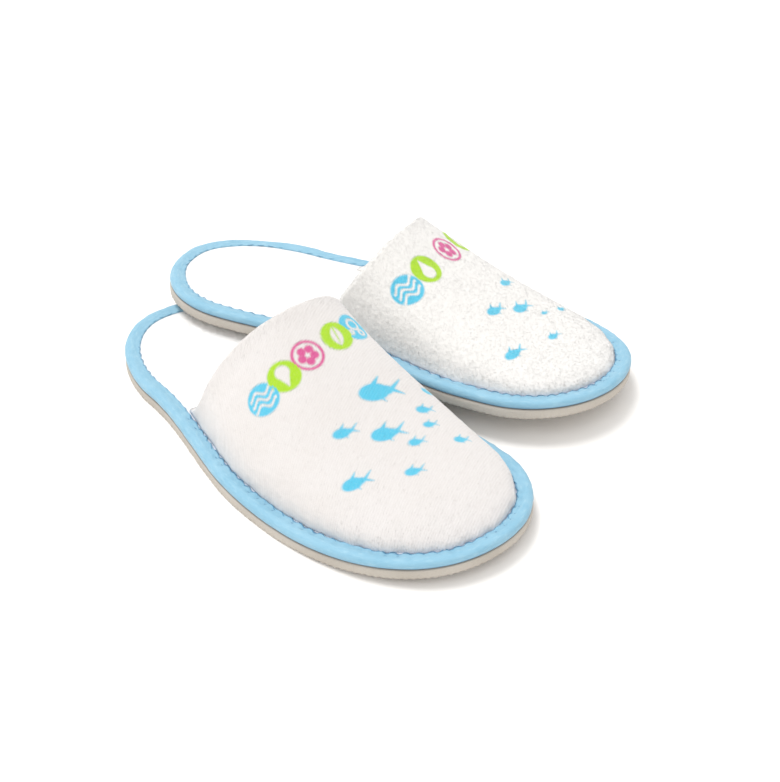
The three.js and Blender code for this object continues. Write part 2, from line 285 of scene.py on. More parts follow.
def grid_faces(rows, columns, close_rows=False, close_columns=False):
    """Quads of a grid of points given row by row; they face a viewer who sees rows going up."""
    r = np.arange(rows if close_rows else rows - 1)
    c = np.arange(columns if close_columns else columns - 1)
    r, c = (a.ravel() for a in np.meshgrid(r, c, indexing="ij"))
    up, right = (r + 1) % rows, (c + 1) % columns
    r, up = r * columns, up * columns
    return np.stack([r + c, r + right, up + right, up + c], 1)


ATTRIBUTE_KINDS = {
    1: ("FLOAT", "value"), 3: ("FLOAT_VECTOR", "vector"), 4: ("FLOAT_COLOR", "color")
}


def build(name, side, points, faces, material, slot, node, **values):
    """A smooth mesh object from points in the slipper's frame, with attributes per vertex."""
    mesh = bpy.data.meshes.new(name)
    faces = [list(f) for f in faces]
    if side == "left":
        faces = [f[::-1] for f in faces]
    mesh.from_pydata(place(points, side).tolist(), [], faces)
    for key, value in values.items():
        value = np.asarray(value, np.float32)
        kind, field = ATTRIBUTE_KINDS[1 if value.ndim == 1 else value.shape[1]]
        mesh.attributes.new(key, kind, "POINT").data.foreach_set(field, value.ravel())
    mesh.shade_smooth()
    mesh.materials.append(material)
    piece = new_object(name, mesh)
    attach(piece, side + "_slipper")
    if node:
        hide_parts(f"{side}_{node}")
    return piece


def merge_close(piece, distance=0.00002):
    """Joins points that fall in one place, such as the end of every row at a toe."""
    work = bmesh.new()
    work.from_mesh(piece.data)
    bmesh.ops.remove_doubles(work, verts=work.verts, dist=distance)
    work.to_mesh(piece.data)
    work.free()
    piece.data.shade_smooth()


def normals_of(points, faces):
    """Unit normals at the points of a mesh of quads."""
    a, b, c, d = (points[faces[:, i]] for i in range(4))
    face = np.cross(c - a, d - b)
    total = np.zeros_like(points)
    for i in range(4):
        np.add.at(total, faces[:, i], face)
    return total / np.maximum(np.linalg.norm(total, axis=1), 1e-12)[:, None]


def edge_distance(points):
    """How far inside the sole outline each point is, seen from above."""
    tree = KDTree(len(OUTLINE))
    for i, (x, y) in enumerate(OUTLINE):
        tree.insert((x, y, 0), i)
    tree.balance()
    return np.array([tree.find((x, y, 0))[2] for x, y in points[:, :2]])


# -------- materials --------

RIB_TURN = math.radians(-119)  # how the knit lines run over the uppers


class Nodes:
    """Short ways to add and join the nodes of one material."""

    def __init__(self, name):
        self.material = bpy.data.materials.new(name)
        self.material.use_nodes = True
        self.tree = self.material.node_tree
        self.shader = self.tree.nodes["Principled BSDF"]

    def add(self, kind, **settings):
        node = self.tree.nodes.new(kind)
        for key, value in settings.items():
            setattr(node, key, value)
        return node

    def feed(self, socket, value):
        """Sets a number or a colour on a socket, or joins another node's output to it."""
        if isinstance(value, (int, float)):
            socket.default_value = value
        elif isinstance(value, tuple):
            socket.default_value = (*value, 1)
        elif value is not None:
            self.tree.links.new(value, socket)

    def attribute(self, name):
        return self.add("ShaderNodeAttribute", attribute_name=name)

    def place(self, scale=(1, 1, 1), turn=0.0, source=None):
        """Coordinates in millimetres, scaled and turned about Z."""
        mapping = self.add("ShaderNodeMapping")
        if source is None:
            source = self.add("ShaderNodeTexCoord").outputs["Object"]
            scale = tuple(s / MM for s in scale)
        mapping.inputs["Scale"].default_value = scale
        mapping.inputs["Rotation"].default_value[2] = turn
        self.feed(mapping.inputs["Vector"], source)
        return mapping.outputs["Vector"]

    def filled(self, kind, output, inputs, **settings):
        """The output of a new node with its inputs fed by name."""
        node = self.add(kind, **settings)
        for key, value in inputs.items():
            self.feed(node.inputs[key], value)
        return node.outputs[output]

    def noise(self, where, scale, detail=3.0, rough=0.55):
        inputs = {"Vector": where, "Scale": scale, "Detail": detail, "Roughness": rough}
        return self.filled("ShaderNodeTexNoise", "Fac", inputs)

    def cells(self, where, scale):
        return self.filled("ShaderNodeTexVoronoi", "Distance", {"Vector": where, "Scale": scale})

    def waves(self, where, scale, distortion, detail, direction="X"):
        inputs = {"Vector": where, "Scale": scale, "Distortion": distortion, "Detail": detail}
        return self.filled(
            "ShaderNodeTexWave", "Fac", inputs, bands_direction=direction, wave_profile="SIN"
        )

    def spread(self, value, low, high, to_low, to_high):
        inputs = {
            "Value": value, "From Min": low, "From Max": high, "To Min": to_low, "To Max": to_high
        }
        return self.filled("ShaderNodeMapRange", "Result", inputs)

    def math(self, operation, a, b):
        return self.filled("ShaderNodeMath", "Value", {0: a, 1: b}, operation=operation)

    def mix(self, factor, a, b):
        node = self.add("ShaderNodeMix", data_type="RGBA")
        for key, value in (("Factor", factor), ("A", a), ("B", b)):
            self.feed(next(s for s in node.inputs if s.name == key and s.enabled), value)
        return next(s for s in node.outputs if s.enabled)

    def bump(self, height, distance_mm, strength):
        inputs = {"Height": height, "Distance": distance_mm * MM, "Strength": strength}
        return self.filled("ShaderNodeBump", "Normal", inputs)

    def finish(self, colour, roughness, normal, **plain):
        looks = {"Base Color": colour, "Roughness": roughness, "Normal": normal}
        for key, value in looks.items():
            self.feed(self.shader.inputs[key], value)
        for key, value in plain.items():
            self.shader.inputs[key.replace("_", " ")].default_value = value
        return self.material


def terry_material(name, light, dark, rib, pile, relief=0.6):
    """Looped cotton pile with printed colour.

    rib and pile are the heights of its knit lines and its fluff; relief is how much they show.
    """
    n = Nodes(name)
    ribs = n.waves(n.place(turn=RIB_TURN), 0.30, 0.5, 2.0)
    loops = n.cells(n.place(), 1.1)
    fluff = n.noise(n.place(), 1.7, 4.0, 0.65)
    patches = n.noise(n.place(), 0.06, 2.0)
    tone = n.mix(n.spread(patches, 0.3, 0.7, 0, 1), dark, light)
    depth = n.math("ADD", n.math("MULTIPLY", ribs, rib), n.math("MULTIPLY", fluff, pile))
    # Painted shade: darker low down between the knit lines and the fluff.
    tone = n.mix(n.spread(depth, 0, rib + pile, 0.5, 0.0), tone, tuple(0.87 * c for c in dark))
    ink = n.attribute("print")
    worn = n.spread(fluff, 0.25, 0.5, 0.86, 1.0)
    tone = n.mix(n.math("MULTIPLY", ink.outputs["Alpha"], worn), tone, ink.outputs["Color"])
    # Painted shade from the shade attribute, tinted blue as a painted reflection of the tape.
    tone = n.mix(n.attribute("shade").outputs["Fac"], tone, (0.60, 0.66, 0.78))
    height = n.math("ADD", depth, n.math("MULTIPLY", loops, 0.5 * pile))
    return n.finish(
        tone, n.spread(fluff, 0.3, 0.7, 0.9, 1.0), n.bump(height, 0.4, relief),
        Sheen_Weight=0.2, Sheen_Roughness=0.6, Specular_IOR_Level=0.15,
        Subsurface_Weight=0.35, Subsurface_Scale=0.001, Subsurface_Radius=(1, 1, 1),
    )


def lining_material():
    """Smooth white cloth with a fine plain weave."""
    n = Nodes("lining_cloth")
    weave = n.attribute("weave").outputs["Vector"]
    warp = n.waves(weave, 0.55, 0.3, 1.0, "X")
    weft = n.waves(weave, 0.55, 0.3, 1.0, "Y")
    cloth = n.math("MULTIPLY", warp, weft)
    # Painted crease shade: broad darker and lighter patches over the lining.
    crease_shade = n.noise(n.place(), 0.05, 3.0)
    tone = n.mix(n.spread(crease_shade, 0.3, 0.7, 0, 1), (0.76, 0.755, 0.74), (0.86, 0.855, 0.845))
    # Painted shade between the threads of the weave.
    tone = n.mix(n.spread(cloth, 0, 1, 0.25, 0.0), tone, (0.66, 0.65, 0.63))
    return n.finish(tone, 0.85, n.bump(cloth, 0.15, 0.6), Sheen_Weight=0.15, Specular_IOR_Level=0.2)


def tape_material():
    """Thin smooth bias tape, stretched round the edge; weave runs along and across it."""
    n = Nodes("edge_tape")
    weave = n.attribute("weave").outputs["Vector"]
    diagonal = n.place((0.22, 0.75, 1), math.radians(-32), weave)
    pulls = n.noise(diagonal, 1.0, 4.0, 0.6)
    clouds = n.noise(n.place(), 0.09, 3.0)
    threads = n.waves(n.place(turn=math.radians(45), source=weave), 1.1, 0.4, 1.0)
    tone = n.mix(n.spread(clouds, 0.3, 0.7, 0, 1), (0.225, 0.455, 0.60), (0.275, 0.505, 0.645))
    tone = n.mix(n.spread(pulls, 0.52, 0.72, 0, 0.4), tone, (0.40, 0.62, 0.72))
    tone = n.mix(n.spread(pulls, 0.44, 0.3, 0, 0.35), tone, (0.17, 0.39, 0.55))
    tone = n.mix(n.attribute("shade").outputs["Fac"], tone, (0.045, 0.15, 0.30))
    height = n.math("ADD", pulls, n.math("MULTIPLY", threads, 0.12))
    return n.finish(
        tone, n.spread(pulls, 0.3, 0.7, 0.62, 0.48), n.bump(height, 0.45, 0.6),
        Sheen_Weight=0.1, Specular_IOR_Level=0.4,
    )


def sole_material():
    """Closed-cell foam sheet, sawn at the edge, with a fine speckle, darker towards the floor, and
    painted shade along its top edge under the tape.
    """
    n = Nodes("sole_foam")
    here = n.place()
    speckle = n.noise(here, 1.6, 5.0, 0.7)
    cells = n.cells(here, 1.5)
    sawn = n.noise(n.place((0.35, 0.35, 2.2)), 1.0, 3.0)
    clouds = n.noise(here, 0.04, 2.0)
    tone = n.mix(n.spread(clouds, 0.3, 0.7, 0, 1), (0.47, 0.43, 0.375), (0.54, 0.50, 0.445))
    tone = n.mix(n.spread(speckle, 0.52, 0.68, 0, 0.35), tone, (0.36, 0.31, 0.26))
    tone = n.mix(n.attribute("shade").outputs["Fac"], tone, (0.20, 0.165, 0.13))
    height = n.math("ADD", n.math("MULTIPLY", sawn, 0.7), n.math("MULTIPLY", cells, 0.35))
    rough = n.spread(speckle, 0.3, 0.7, 0.72, 0.88)
    return n.finish(tone, rough, n.bump(height, 0.25, 0.6), Specular_IOR_Level=0.3)


def thread_material():
    """Two-ply polyester sewing thread."""
    n = Nodes("sewing_thread")
    weave = n.attribute("weave").outputs["Vector"]
    twist = n.waves(n.place(turn=math.radians(30), source=weave), 0.9, 0.2, 1.0)
    tone = n.mix(twist, (0.06, 0.21, 0.36), (0.14, 0.36, 0.55))
    return n.finish(tone, 0.55, n.bump(twist, 0.1, 0.7), Sheen_Weight=0.1)


def board_material():
    """Grey-brown fibre board with short fibres pressed flat."""
    n = Nodes("fibre_board")
    fibres = n.noise(n.place((0.25, 2.0, 1)), 1.0, 5.0, 0.7)
    flecks = n.noise(n.place(), 0.8, 2.0)
    tone = n.mix(fibres, (0.42, 0.33, 0.18), (0.66, 0.53, 0.32))
    tone = n.mix(n.spread(flecks, 0.6, 0.7, 0, 0.5), tone, (0.28, 0.20, 0.11))
    return n.finish(tone, 0.9, n.bump(fibres, 0.1, 0.5))


def foam_material():
    """Open-cell cushion foam."""
    n = Nodes("cushion_foam")
    pores = n.cells(n.place(), 1.6)
    clouds = n.noise(n.place(), 0.08, 2.0)
    tone = n.mix(clouds, (0.80, 0.77, 0.64), (0.90, 0.87, 0.76))
    # Painted shade in the pores.
    tone = n.mix(n.spread(pores, 0.0, 0.3, 0.6, 0.0), tone, (0.55, 0.50, 0.36))
    return n.finish(tone, 0.9, n.bump(pores, 0.3, 0.7))


def floor_material():
    """A pale backdrop with hardly any grain."""
    n = Nodes("pale_floor")
    grain = n.noise(n.place(), 0.02, 2.0)
    tone = n.mix(grain, (0.99, 0.975, 0.955), (0.99, 0.98, 0.965))
    return n.finish(tone, 0.8, None, Specular_IOR_Level=0.1)


RIGHT_TERRY = terry_material(
    "terry_ribbed", light=(0.705, 0.68, 0.665), dark=(0.69, 0.66, 0.64), rib=0.26, pile=0.35
)
LEFT_TERRY = terry_material(
    "terry_fluffy", light=(0.785, 0.77, 0.745), dark=(0.765, 0.75, 0.725), rib=0.06, pile=0.45
)
# The loops' materials are lighter copies of the terry: painted light that offsets the shade the
# loops cast on one another.
RIGHT_LOOPS_LIGHTENED = terry_material(
    "pile_ribbed_lightened", light=(0.72, 0.695, 0.68), dark=(0.705, 0.675, 0.655),
    rib=0.1, pile=0.2, relief=0.1,
)
LEFT_LOOPS_LIGHTENED = terry_material(
    "pile_fluffy_lightened", light=(0.84, 0.825, 0.80), dark=(0.82, 0.805, 0.78),
    rib=0.05, pile=0.2, relief=0.1,
)
FOOTBED = terry_material(
    "terry_footbed", light=(0.90, 0.895, 0.89), dark=(0.88, 0.875, 0.865), rib=0.1, pile=0.6
)
LINING_CLOTH = lining_material()
TAPE = tape_material()
SOLE = sole_material()
THREAD_LOOK = thread_material()
BOARD = board_material()
FOAM = foam_material()


# -------- sole, board, foam and footbed --------


# The cut side of the sole: inset from the outline, height, and how worn it is there.
SOLE_SECTION = [
    (1.1, 0, 1.0), (0.4, 0.05, 1.0), (0.12, 0.45, 0.8), (0.0, 1.1, 0.35), (0.0, 2.2, 0.1),
    (0.02, 3.3, 0), (0.1, 4.1, 0), (0.4, 4.5, 0), (0.9, SOLE_THICK, 0),
]


def closed_stack(rings):
    """Points and faces of loops of the outline stacked upwards, closed below and above."""
    count = len(OUTLINE)
    faces = grid_faces(len(rings), count, close_columns=True).tolist()
    top = (len(rings) - 1) * count
    for i in range(STATIONS):
        j, home_i, home_j = i + 1, (count - i) % count, count - i - 1
        upper = [top + i, top + j, top + home_j, top + home_i]
        lower = [i, home_i, home_j, j]
        faces += [list(dict.fromkeys(upper)), list(dict.fromkeys(lower))]
    return np.concatenate(rings), faces


def outsole(side):
    """The sawn foam sheet: a wavy lower edge, a plain side and a slightly rounded top edge."""
    pitch = PERIMETER / round(PERIMETER / SCALLOP_PITCH)
    scallop = 0.5 + 0.5 * np.cos(2 * np.pi * ALONG_EDGE / pitch)
    ragged = lattice_noise(OUTLINE, 2.2, 3)
    rings, shade = [], []
    for inset, z, worn in SOLE_SECTION:
        level = np.column_stack([OUTLINE, np.full(len(OUTLINE), z)])
        cut = 0.10 * lattice_noise(level, (5, 5, 1.2), 5)
        edge = inset + worn * (0.30 * scallop**2 + 0.14 * ragged) + cut
        lift = 0.16 * scallop**2 * worn if 0 < z < 1 else 0
        rings.append(ring(edge, z + lift, OUTLINE))
        # Darker towards the floor, and painted shade along the top edge where the tape sits on it.
        shade.append(0.25 * max(0, 1 - z / 1.2) + 0.3 * max(0, (z - 4.2) / 0.4))
    points, faces = closed_stack(rings)
    return build(
        f"{side}_outsole_foam", side, points, faces, SOLE, "sole", "outsole",
        shade=np.repeat(shade, len(OUTLINE)),
    )


def cushion(side):
    """The thin foam pad under the footbed cloth, with rounded edges."""
    inset, low, thick = 1.3, 5.7, 0.7
    section = [(0.3, 0), (0, 0.3), (0, 0.7), (0.3, 1)]  # in thicknesses
    rings = [ring(inset + r * thick, low + z * thick, OUTLINE) for r, z in section]
    points, faces = closed_stack(rings)
    return build(f"{side}_cushion_foam", side, points, faces, FOAM, "foam", "footbed_foam")


def border(rows, columns):
    """The points round a grid, counter-clockwise where rows go up and columns to the right."""
    low = list(range(columns - 1))
    right = [r * columns + columns - 1 for r in range(rows - 1)]
    high = [(rows - 1) * columns + c for c in range(columns - 1, 0, -1)]
    left = [r * columns for r in range(rows - 1, 0, -1)]
    return low + right + high + left


def footbed(side, seed):
    """The terry ply of the footbed, its edge tucked under the tape."""
    loop = ring(BED_INSET, 0, OUTLINE)
    there = loop[BED_SKIPPED : STATIONS + 1 - BED_SKIPPED, None]
    home = loop[len(loop) - BED_SKIPPED : STATIONS - 1 + BED_SKIPPED : -1, None]
    share = np.linspace(0, 1, BED_ACROSS + 1)[None, :, None]
    top = there * (1 - share) + home * share
    rows, columns = top.shape[:2]
    top = top.reshape(-1, 3)
    inside = edge_distance(top)
    crown = 1 - np.exp(-np.maximum(0, inside - 6.9) / 2.2)
    flat = top[:, :2]
    hollow = 0.25 * lattice_noise(flat, 22, seed) + 0.12 * lattice_noise(flat, 7, seed + 1)
    pile = 0.14 * lattice_noise(flat, 1.6, seed + 2) + 0.10 * lattice_noise(flat, 0.9, seed + 3)
    top[:, 2] = BED_EDGE_HIGH + spring_at(top[:, 0]) + crown * (BED_CROWN + hollow + pile)
    low = top.copy()
    low[:, 2] = BED_UNDERSIDE + spring_at(top[:, 0])
    points = np.concatenate([top, low])
    lower = grid_faces(rows, columns)
    rim = border(rows, columns)
    below = [i + rows * columns for i in rim]
    faces = lower[:, ::-1].tolist() + (lower + rows * columns).tolist()
    for k in range(len(rim)):
        j = (k + 1) % len(rim)
        faces.append([rim[k], rim[j], below[j], below[k]])
    # Painted shade on the footbed along the tape, deepest where the upper stands over it.
    under_tape = np.exp(-np.maximum(0, inside - 7.4) / 0.9)
    shade = np.tile((0.25 + 0.6 * by_upper(top[:, 0])) * under_tape, 2)
    return build(
        f"{side}_footbed_cloth", side, points, faces, FOOTBED, "footbed", "footbed_terry",
        shade=shade, print=np.zeros((len(points), 4)),
    )


# -------- tape and stitches --------

# Inset from the edge, height, and how far a stitch pulls the point down.
TAPE_SECTION = [
    (3.0, 4.90, 0), (0.95, 4.92, 0), (0.42, 5.12, 0), (0.14, 5.6, 0), (0.05, 6.2, 0),
    (0.12, 6.9, 0), (0.38, 7.6, 0), (0.85, 8.15, 0.05), (1.6, 8.55, 0.1), (2.6, 8.78, 0.2),
    (3.6, 8.78, 0.35), (4.5, 8.64, 0.55), (5.3, 8.46, 0.8), (6.0, 8.36, 1), (6.6, 8.32, 1),
    (7.1, 8.22, 0.9), (7.35, 8.0, 0.6), (7.3, 7.75, 0.3), (6.6, 7.62, 0), (3.0, 7.62, 0),
    (1.5, 7.55, 0), (0.9, 7.1, 0), (0.75, 6.3, 0), (0.9, 5.6, 0), (1.5, 5.35, 0), (7.2, 5.35, 0),
    (7.2, 4.9, 0),
]
TAPE_OUTSIDE, TAPE_FACE, NEEDLE_ROW = range(1, 17), range(3, 15), 13  # rows of the section
SEAM_ROWS = {15: 0.45, 16: 1.0, 17: 1.0}  # how much of the seam's shadow falls on a row
EDGE_WAVE = 0.85


def stitch_pull(s, seed):
    """1 at each needle hole along the edge, falling to 0 half way to the next."""
    wander = 0.3 * lattice_noise(np.stack([s, np.zeros_like(s)], 1), 11, seed)
    return (0.5 + 0.5 * np.cos(2 * np.pi * (s / (PERIMETER / STITCHES) + wander))) ** 1.5


def edge_tape(side, seed):
    """The tape folded over the rim, pulled down at each stitch and puckered between them."""
    count = len(OUTLINE)
    pull = stitch_pull(ALONG_EDGE, seed)
    slow = lattice_noise(OUTLINE, 16, seed + 1)
    uneven = np.clip(0.75 + 0.95 * lattice_noise(OUTLINE, 8, seed + 5), 0, 1.5)
    covered = by_upper(OUTLINE[:, 0])
    uneven *= 0.35 + 0.65 * covered
    # seam sets the painted shadow along the seam with the upper: patchy, and deepest under the
    # upper.
    patchy = 1 + 1.6 * lattice_noise(OUTLINE, 6, seed + 6)
    seam = np.clip((0.05 + 0.65 * covered) * patchy, 0, 0.9)
    rings, weave, shade = [], [], []
    run = 0.0
    for k, (inset, z, held) in enumerate(TAPE_SECTION):
        if k:
            run += math.dist(TAPE_SECTION[k - 1][:2], (inset, z))
        skewed = np.column_stack([ALONG_EDGE + 1.1 * run, np.full(count, run)])
        pucker = 0.13 * lattice_noise(skewed, (2.6, 5.0), seed + 2)
        pucker += 0.16 * lattice_noise(skewed, (7, 9), seed + 3)
        creased = (1 if k in TAPE_FACE else 0.35) if k in TAPE_OUTSIDE else 0
        shift = (pucker + 0.2 * slow) * creased
        waved = EDGE_WAVE * uneven * pull * held**2 * (inset > 5)
        edge = inset - waved - 0.6 * shift * (inset < 2.5) + 0.35 * slow * (inset > 6)
        pulled = (0.08 + 0.22 * covered) * pull * held
        rings.append(ring(edge, z + shift * (inset >= 0.8) - pulled, OUTLINE))
        weave.append(np.column_stack([ALONG_EDGE, np.full(count, run), np.zeros(count)]))
        # Painted shade: dark on the rows where the tape meets the sole, along the seam, and in the
        # needle holes.
        dark = 0.75 * (k <= 2) + 0.25 * (k == 3) + seam * SEAM_ROWS.get(k, 0)
        hole = 0.8 * (pull > 0.93) * (uneven > 0.75) if k == NEEDLE_ROW else 0.0
        shade.append(np.clip(dark + hole + np.zeros(count), 0, 1))
    faces = grid_faces(len(TAPE_SECTION), count, close_rows=True, close_columns=True)
    return build(
        f"{side}_edge_tape", side, np.concatenate(rings), faces, TAPE, "tape", "edge_binding",
        weave=np.concatenate(weave), shade=np.concatenate(shade),
    )


def on_edge(s, inset, z):
    """Points at distances s along the edge, at an inset and a height."""
    inwards = inset_loop(1.0, OUTLINE) - OUTLINE
    s = np.mod(s, PERIMETER)
    closed = np.append(ALONG_EDGE, PERIMETER)
    at, way = (
        np.stack([np.interp(s, closed, np.append(v[:, i], v[0, i])) for i in (0, 1)], 1)
        for v in (OUTLINE, inwards)
    )
    flat = at + way * np.broadcast_to(inset, len(s))[:, None]
    return np.column_stack([flat, z + spring_at(flat[:, 0])])


def stitches(side, seed):
    """A running stitch: one short length of thread between each two needle holes."""
    pitch = PERIMETER / STITCHES
    sides, steps, radius = 6, 9, 0.15
    turn = np.linspace(0, 2 * np.pi, sides, endpoint=False)[:, None]
    points, faces, weave = [], [], []
    rng = np.random.default_rng(seed)
    for i in range(STITCHES):
        t = np.linspace(0.10, 0.90, steps) + rng.uniform(-0.03, 0.03)
        s = (i + t) * pitch
        pull = stitch_pull(s, seed)
        arch = np.sin(np.linspace(0, np.pi, steps))
        inset = STITCH_INSET - EDGE_WAVE * pull + 0.12 * rng.uniform(-1, 1) + 0.25 * arch
        centre = on_edge(s, inset, STITCH_HIGH + 0.45 * arch**0.7)
        ahead = np.gradient(centre, axis=0)
        ahead /= np.linalg.norm(ahead, axis=1)[:, None]
        out = np.cross(ahead, (0, 0, 1))
        out /= np.linalg.norm(out, axis=1)[:, None]
        up = np.cross(out, ahead)
        slim = radius * (0.55 + 0.45 * np.minimum(1, 3 * arch))
        start = len(points) * sides
        for c, o, u, r, along in zip(centre, out, up, slim, s):
            points.append(c + r * (np.cos(turn) * o + np.sin(turn) * u))
            weave.append(np.column_stack([np.full(sides, along), turn * radius, np.zeros(sides)]))
        faces += (grid_faces(steps, sides, close_columns=True)[:, ::-1] + start).tolist()
        end = start + (steps - 1) * sides
        faces += [list(range(start, start + sides)), list(range(end + sides - 1, end - 1, -1))]
    return build(
        f"{side}_edge_stitches", side, np.concatenate(points), faces,
        THREAD_LOOK, "thread", "binding_stitch", weave=np.concatenate(weave),
    )


# -------- prints on the uppers --------

BLUE, LIME, PINK = (0.09, 0.48, 0.66), (0.36, 0.60, 0.02), (0.58, 0.09, 0.26)
MOTIF_SIZE = 0.82  # of its spot


def smooth_edge(distance, soft=0.35):
    """1 inside a shape, 0 outside it, from its signed distance in millimetres."""
    return np.clip(0.5 - distance / (2 * soft), 0, 1)


def ellipse(u, v, cu, cv, ru, rv):
    """Roughly the signed distance from an ellipse."""
    k = np.hypot((u - cu) / ru, (v - cv) / rv)
    return (k - 1) * min(ru, rv)


def band(u, v, a, b, half_a, half_b):
    """Signed distance from a tapered bar between two points."""
    du, dv = b[0] - a[0], b[1] - a[1]
    t = np.clip(((u - a[0]) * du + (v - a[1]) * dv) / (du * du + dv * dv), 0, 1)
    return np.hypot(u - a[0] - t * du, v - a[1] - t * dv) - (half_a + (half_b - half_a) * t)


def drop_motif(u, v):
    tip = band(u, v, (0, 0.42), (0, -0.12), 0.02, 0.26)
    return np.minimum(tip, ellipse(u, v, 0, -0.16, 0.27, 0.27))


def wave_motif(u, v):
    swell = 0.1 * np.sin(2 * np.pi * u / 0.62)
    lines = [np.abs(v - c - swell) - 0.055 for c in (-0.26, 0.0, 0.26)]
    return np.maximum(np.minimum.reduce(lines), np.abs(u) - 0.48)


def leaf_motif(u, v):
    blade = np.maximum(np.hypot(u - 0.28, v) - 0.5, np.hypot(u + 0.28, v) - 0.5)
    vein = band(u, v, (0, -0.5), (0, 0.28), 0.035, 0.02)
    return np.maximum(blade, -vein)


def petal_motif(u, v):
    petals = []
    for k in range(5):
        turn = 2 * np.pi * k / 5
        petals.append(np.hypot(u - 0.25 * np.sin(turn), v - 0.25 * np.cos(turn)) - 0.165)
    return np.minimum.reduce(petals)


def bubble_motif(u, v):
    rings = [(0.0, -0.12, 0.24), (0.24, 0.24, 0.12), (-0.22, 0.26, 0.08)]
    return np.minimum.reduce([np.abs(np.hypot(u - a, v - b) - r) - 0.05 for a, b, r in rings])


def fish(u, v):
    """A plain fish seen from the side, nose towards -u, about one unit long."""
    body = np.minimum(ellipse(u, v, -0.17, 0, 0.32, 0.19), ellipse(u, v, -0.02, 0, 0.28, 0.12))
    tail_up = band(u, v, (0.2, 0), (0.48, 0.2), 0.05, 0.012)
    tail_down = band(u, v, (0.2, 0), (0.44, -0.14), 0.05, 0.012)
    back_fin = band(u, v, (-0.14, 0.14), (0.04, 0.32), 0.06, 0.01)
    belly_fin = band(u, v, (-0.10, -0.12), (0.0, -0.24), 0.04, 0.01)
    return np.minimum.reduce([body, tail_up, tail_down, back_fin, belly_fin])


def disc(colour, motif, ring_only=False):
    """A round spot with a plain motif left white in it, or a ring with the motif inside."""

    def paint(u, v):
        spot = np.hypot(u, v) - 0.5
        mark = motif(u / MOTIF_SIZE, v / MOTIF_SIZE) * MOTIF_SIZE
        if ring_only:
            return np.minimum(np.abs(spot + 0.045) - 0.045, mark)
        return np.maximum(spot, -mark)

    return colour, paint


SPOTS = [
    disc(BLUE, wave_motif), disc(LIME, drop_motif), disc(PINK, petal_motif, ring_only=True),
    disc(LIME, leaf_motif), disc(BLUE, bubble_motif),
]

# The first spot's place on an upper, how far along from mouth to toe and how far across it,
# the step from each spot to the next, and their size in millimetres.
RIGHT_SPOTS = dict(along=0.208, across=0.243, step=(-0.019, 0.0965), size=14.4)
LEFT_SPOTS = dict(along=0.172, across=0.735, step=(-0.003, -0.140), size=15.5)
# Each fish: along, across, length in millimetres.
RIGHT_FISH = [
    (0.393, 0.535, 22), (0.540, 0.485, 17), (0.465, 0.388, 12), (0.635, 0.300, 14),
    (0.705, 0.465, 10), (0.613, 0.520, 9), (0.512, 0.628, 10), (0.573, 0.600, 8),
    (0.667, 0.675, 9), (0.430, 0.760, 10),
]
LEFT_FISH = [
    (0.485, 0.532, 13), (0.557, 0.455, 14), (0.645, 0.403, 6), (0.435, 0.367, 11),
    (0.688, 0.268, 8), (0.743, 0.497, 9), (0.665, 0.682, 13),
]
FISH_HEADING = math.radians(12)
SPOT_TURN = 0.12


def surface_frame(shape, along, across):
    """A point of an upper with its directions across it and towards the toe."""
    step = 0.004
    at = np.array([along, along + step, along, along - step, along])
    over = np.array([across, across, across + step, across, across - step])
    p = upper_points(shape, np.zeros(5), np.full(5, PLY_BACK), at, over)
    v, u = p[1] - p[3], p[2] - p[4]
    u /= np.linalg.norm(u)
    v -= u * (v @ u)
    return p[0], u, v / np.linalg.norm(v)


def printed(points, shape, jobs):
    """Colour and cover of everything printed on an upper, per vertex."""
    ink = np.zeros((len(points), 4))
    for along, across, size, turn, flip, colour, paint in jobs:
        centre, u_way, v_way = surface_frame(shape, along, across)
        near = np.flatnonzero(np.linalg.norm(points - centre, axis=1) < 0.9 * size)
        offset = points[near] - centre
        u, v = offset @ u_way / size, offset @ v_way / size
        c, s = math.cos(turn), math.sin(turn)
        u, v = u * c + v * s, flip * (v * c - u * s)
        cover = smooth_edge(paint(u, v) * size)
        hit = cover > ink[near, 3]
        ink[near[hit], :3] = colour
        ink[near[hit], 3] = cover[hit]
    return ink


def print_jobs(side, spots, fish_list):
    """Spots and fish with the way they face; both uppers read from the toe, left to right."""
    facing = 1 if side == "right" else -1
    jobs = []
    for k, (colour, paint) in enumerate(SPOTS):
        along = spots["along"] + k * spots["step"][0]
        across = spots["across"] + k * spots["step"][1]
        jobs.append((along, across, spots["size"], SPOT_TURN * facing, facing, colour, paint))
    for along, across, size in fish_list:
        turn = FISH_HEADING if side == "right" else math.pi - FISH_HEADING
        jobs.append((along, across, size, turn, -facing, BLUE, fish))
    return jobs


# -------- uppers --------


def to_toe(first, count):
    """Steps along an upper from near the mouth to the toe, closer together at the toe."""
    return 1 - (1 - np.linspace(first, 1, count)) ** 1.8


